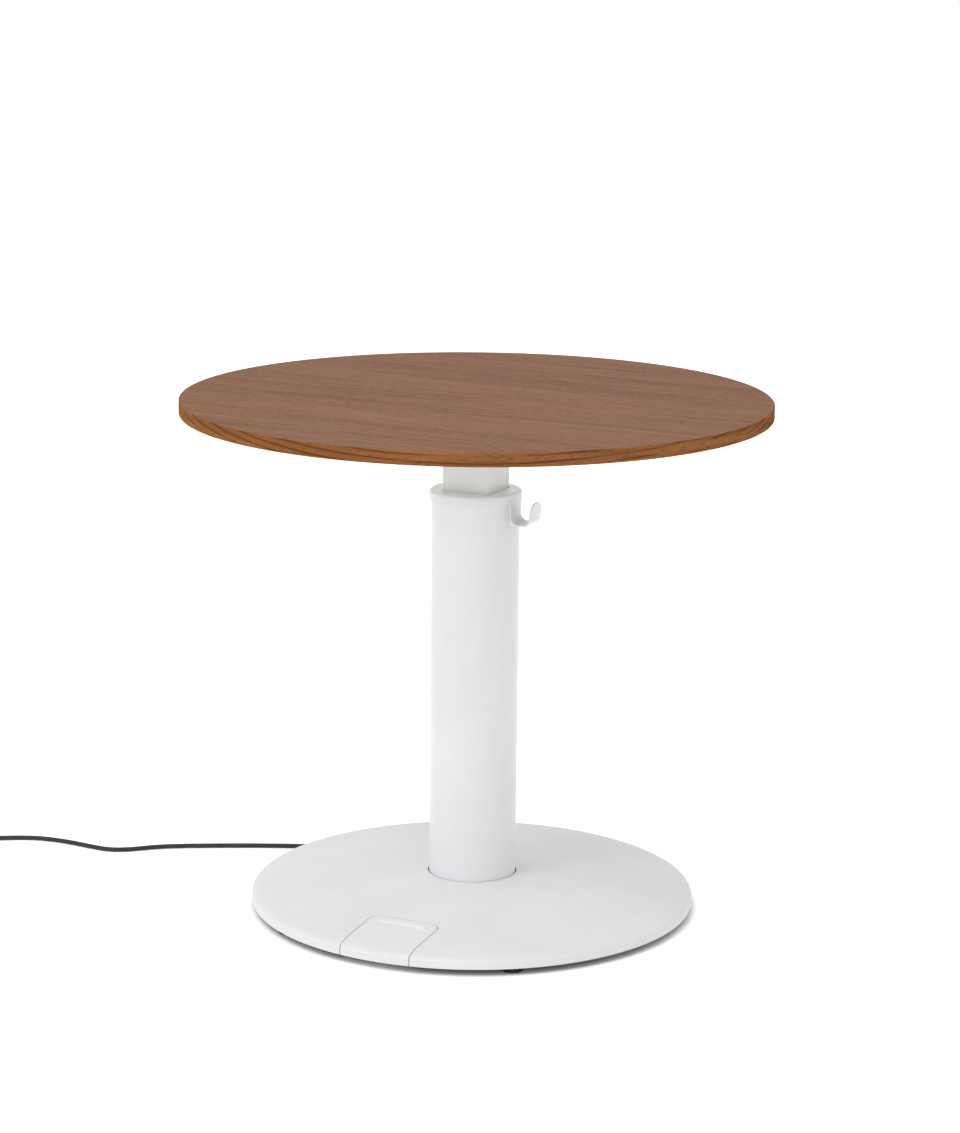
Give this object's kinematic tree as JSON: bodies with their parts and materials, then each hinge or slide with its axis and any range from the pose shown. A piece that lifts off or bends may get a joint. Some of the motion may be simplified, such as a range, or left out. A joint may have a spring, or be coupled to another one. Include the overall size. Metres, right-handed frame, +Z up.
{
  "type": "standing desk",
  "caption": "Round pedestal standing desk with a powered square lift tube in a round column, a domed base with a foot pedal, a bag hook and a mains lead.",
  "frame": {"origin": "on the floor under the column's axis, at the centre of the worktop's outline", "axes": "+Z up, -Y to the front, where the foot pedal is, +X to the side with the bag hook"},
  "size_m": [1.3029, 0.8, 0.711],
  "materials": {
    "walnut_veneer": "satin",
    "walnut_edge": "satin",
    "backing": "matte",
    "board_core": "raw",
    "white_paint": "fine texture",
    "white_shell": "fine texture",
    "tread": "satin",
    "black_steel": "satin",
    "cast_alloy": "cast",
    "motor_case": "satin",
    "bright_steel": "plated",
    "nylon": "satin",
    "bronze": "machined",
    "rubber": "matte",
    "black_plastic": "matte",
    "red_plastic": "satin",
    "circuit": "satin",
    "lead_black": "satin",
    "tie_fabric": "woven",
    "pin_brass": "polished"
  },
  "bodies": {
    "base": {"column_tube": "white_paint", "base_cover": "white_shell", "collar": "white_shell", "bag_hook": "white_shell", "base_plate": "black_steel", "column_flange": "black_steel", "post_foot": "black_steel", "nut_post": "black_steel", "flange_bolts": "bright_steel", "hook_screws": "bright_steel", "post_bolts": "bright_steel", "cover_screws": "bright_steel", "leveller_nuts": "bright_steel", "pedal_bracket": "bright_steel", "pedal_pin": "bright_steel", "pedal_springs": "bright_steel", "bracket_screws": "bright_steel", "tray_screws": "bright_steel", "upper_guide": "nylon", "spindle_nut": "bronze", "down_stop": "rubber", "control_tray": "black_plastic", "control_lid": "black_plastic", "switch_body": "black_plastic", "circuit_board": "circuit", "motor_lead": "lead_black", "motor_harness": "lead_black", "pedal_wire": "lead_black", "strain_relief": "lead_black", "mains_lead": "lead_black", "lead_coil": "lead_black", "plug_body": "lead_black", "lead_tie": "tie_fabric", "plug_pins": "pin_brass"},
    "top": {"worktop_core": "board_core", "worktop_veneer": "walnut_veneer", "worktop_backing": "backing", "worktop_edge_band": "walnut_edge", "head_plate": "black_steel", "tube_hub": "cast_alloy", "hub_bolts": "bright_steel", "worktop_screws": "bright_steel", "lift_tube": "white_paint", "tube_runner": "nylon", "runner_screws": "bright_steel", "drive_mount": "cast_alloy", "gearbox": "cast_alloy", "motor": "motor_case", "spindle_bearing": "bright_steel"},
    "spindle": {"spindle": "bright_steel", "drive_coupling": "bright_steel", "spindle_end_bush": "nylon"},
    "pedal": {"pedal": "white_shell", "tread_bar": "tread"},
    "plunger": {"switch_plunger": "red_plastic"},
    "leveller_1": {"leveller_1": "black_plastic"},
    "leveller_2": {"leveller_2": "black_plastic"},
    "leveller_3": {"leveller_3": "black_plastic"},
    "leveller_4": {"leveller_4": "black_plastic"},
    "leveller_5": {"leveller_5": "black_plastic"}
  },
  "joints": [
    {"name": "lift", "type": "slide", "parent": "base", "child": "top", "axis": [0, 0, 1], "range_m": [-0.025, 0.384], "deforming": ["motor_lead"]},
    {"name": "spindle_turn", "type": "hinge", "parent": "top", "child": "spindle", "pos_m": [0, 0, 0.5], "axis": [0, 0, 1], "continuous": true},
    {"name": "pedal_press", "type": "hinge", "parent": "base", "child": "pedal", "pos_m": [0, -0.2006, 0.026], "axis": [1, 0, 0], "range_deg": [0, 3], "stiffness_Nm_per_rad": 10, "springref_deg": -3.44, "deforming": ["pedal_springs"]},
    {"name": "plunger_press", "type": "slide", "parent": "base", "child": "plunger", "axis": [0, 0, -1], "range_m": [0, 0.0024]},
    {"name": "leveller_1_screw", "type": "slide", "parent": "base", "child": "leveller_1", "axis": [0, 0, -1], "range_m": [0, 0.008]},
    {"name": "leveller_2_screw", "type": "slide", "parent": "base", "child": "leveller_2", "axis": [0, 0, -1], "range_m": [0, 0.008]},
    {"name": "leveller_3_screw", "type": "slide", "parent": "base", "child": "leveller_3", "axis": [0, 0, -1], "range_m": [0, 0.008]},
    {"name": "leveller_4_screw", "type": "slide", "parent": "base", "child": "leveller_4", "axis": [0, 0, -1], "range_m": [0, 0.008]},
    {"name": "leveller_5_screw", "type": "slide", "parent": "base", "child": "leveller_5", "axis": [0, 0, -1], "range_m": [0, 0.008]}
  ],
  "couplings": [
    {"joint": "spindle_turn", "follows": "lift", "rad_per_m": 628.32},
    {"joint": "plunger_press", "follows": "pedal_press", "m_per_rad": 0.0431}
  ]
}
